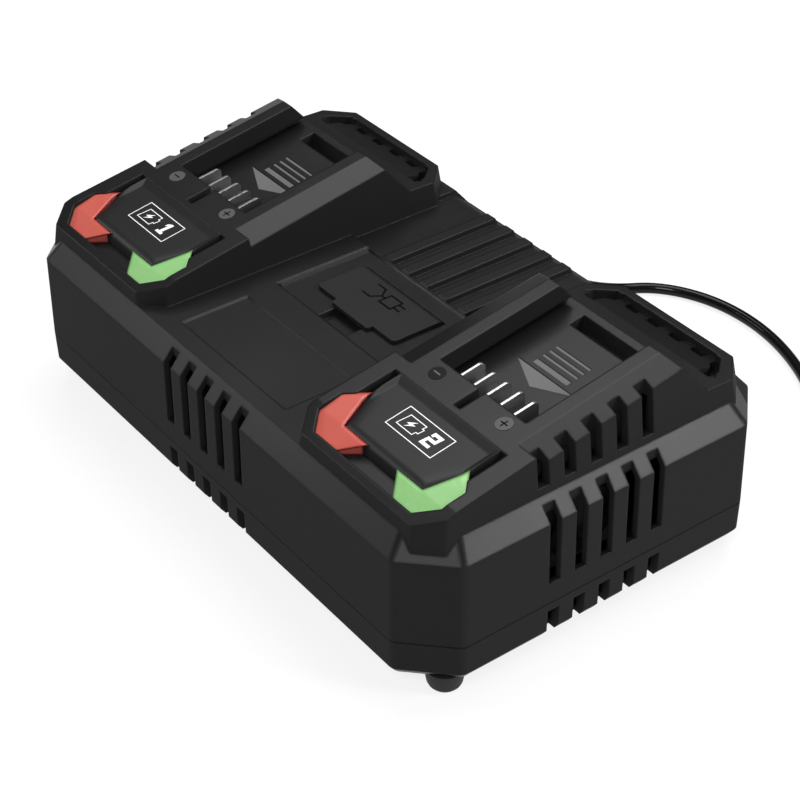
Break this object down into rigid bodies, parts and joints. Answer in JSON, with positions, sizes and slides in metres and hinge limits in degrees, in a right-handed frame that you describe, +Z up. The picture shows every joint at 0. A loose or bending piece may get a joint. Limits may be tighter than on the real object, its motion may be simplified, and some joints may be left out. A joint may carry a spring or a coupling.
{
  "type": "power tool battery charger",
  "caption": "Low octagonal charger with sloping side-by-side docks for slide-on tool batteries, lit corners, a hinged USB cover, cooling slots and a mains lead.",
  "frame": {"origin": "middle of the footprint, at the soles of the feet, the lead not counted", "axes": "+X along the long side towards the right dock, +Y to the back, where the lead leaves, +Z up"},
  "size_m": [0.3157, 0.3215, 0.092],
  "materials": {
    "housing": "fine matte texture",
    "base": "fine matte texture",
    "rubber": "matt black rubber",
    "steel": "plain bright",
    "contact": "tin-plated",
    "tile": "fine matte texture",
    "light_red": "translucent",
    "light_green": "translucent",
    "board": "solder mask",
    "block": "moulded black",
    "cover": "fine matte texture",
    "winding": "varnished core and tape",
    "sleeve": "shrink sleeve",
    "aluminium": "extruded",
    "fan": "moulded",
    "cord": "smooth black sheath",
    "plug": "moulded black",
    "pin": "nickel-plated"
  },
  "bodies": {
    "charger": {"capacitor_1": "sleeve", "capacitor_2": "sleeve", "case_screw_front_left": "steel", "case_screw_front_right": "steel", "case_screw_rear_left": "steel", "case_screw_rear_right": "steel", "contact_left_1": "contact", "contact_left_2": "contact", "contact_left_3": "contact", "contact_left_4": "contact", "contact_left_5": "contact", "contact_right_1": "contact", "contact_right_2": "contact", "contact_right_3": "contact", "contact_right_4": "contact", "contact_right_5": "contact", "cord": "cord", "cord_coil": "cord", "fan_frame": "fan", "foot_front_left": "rubber", "foot_front_right": "rubber", "foot_rear_left": "rubber", "foot_rear_right": "rubber", "heat_sink_1": "aluminium", "heat_sink_2": "aluminium", "hinge_pin": "steel", "label_tile_left": "tile", "label_tile_right": "tile", "led_board_left": "board", "led_board_right": "board", "light_green_left": "light_green", "light_green_right": "light_green", "light_red_left": "light_red", "light_red_right": "light_red", "lower_housing": "base", "main_board": "board", "mains_plug": "plug", "plug_pin_1": "pin", "plug_pin_2": "pin", "strain_relief": "rubber", "terminal_block_left": "block", "terminal_block_right": "block", "transformer": "winding", "upper_housing": "housing", "usb_port_1": "steel", "usb_port_2": "steel", "usb_socket": "block"},
    "usb_cover": {"usb_cover": "cover"},
    "fan_rotor": {"fan_rotor": "fan"}
  },
  "joints": [
    {"name": "usb_cover_hinge", "type": "hinge", "parent": "charger", "child": "usb_cover", "pos_m": [0, 0.0092, 0.0642], "axis": [-1, 0, 0], "range_deg": [0, 95]},
    {"name": "fan_spin", "type": "hinge", "parent": "charger", "child": "fan_rotor", "pos_m": [0.112, 0, 0.0425], "axis": [1, 0, 0], "continuous": true}
  ]
}
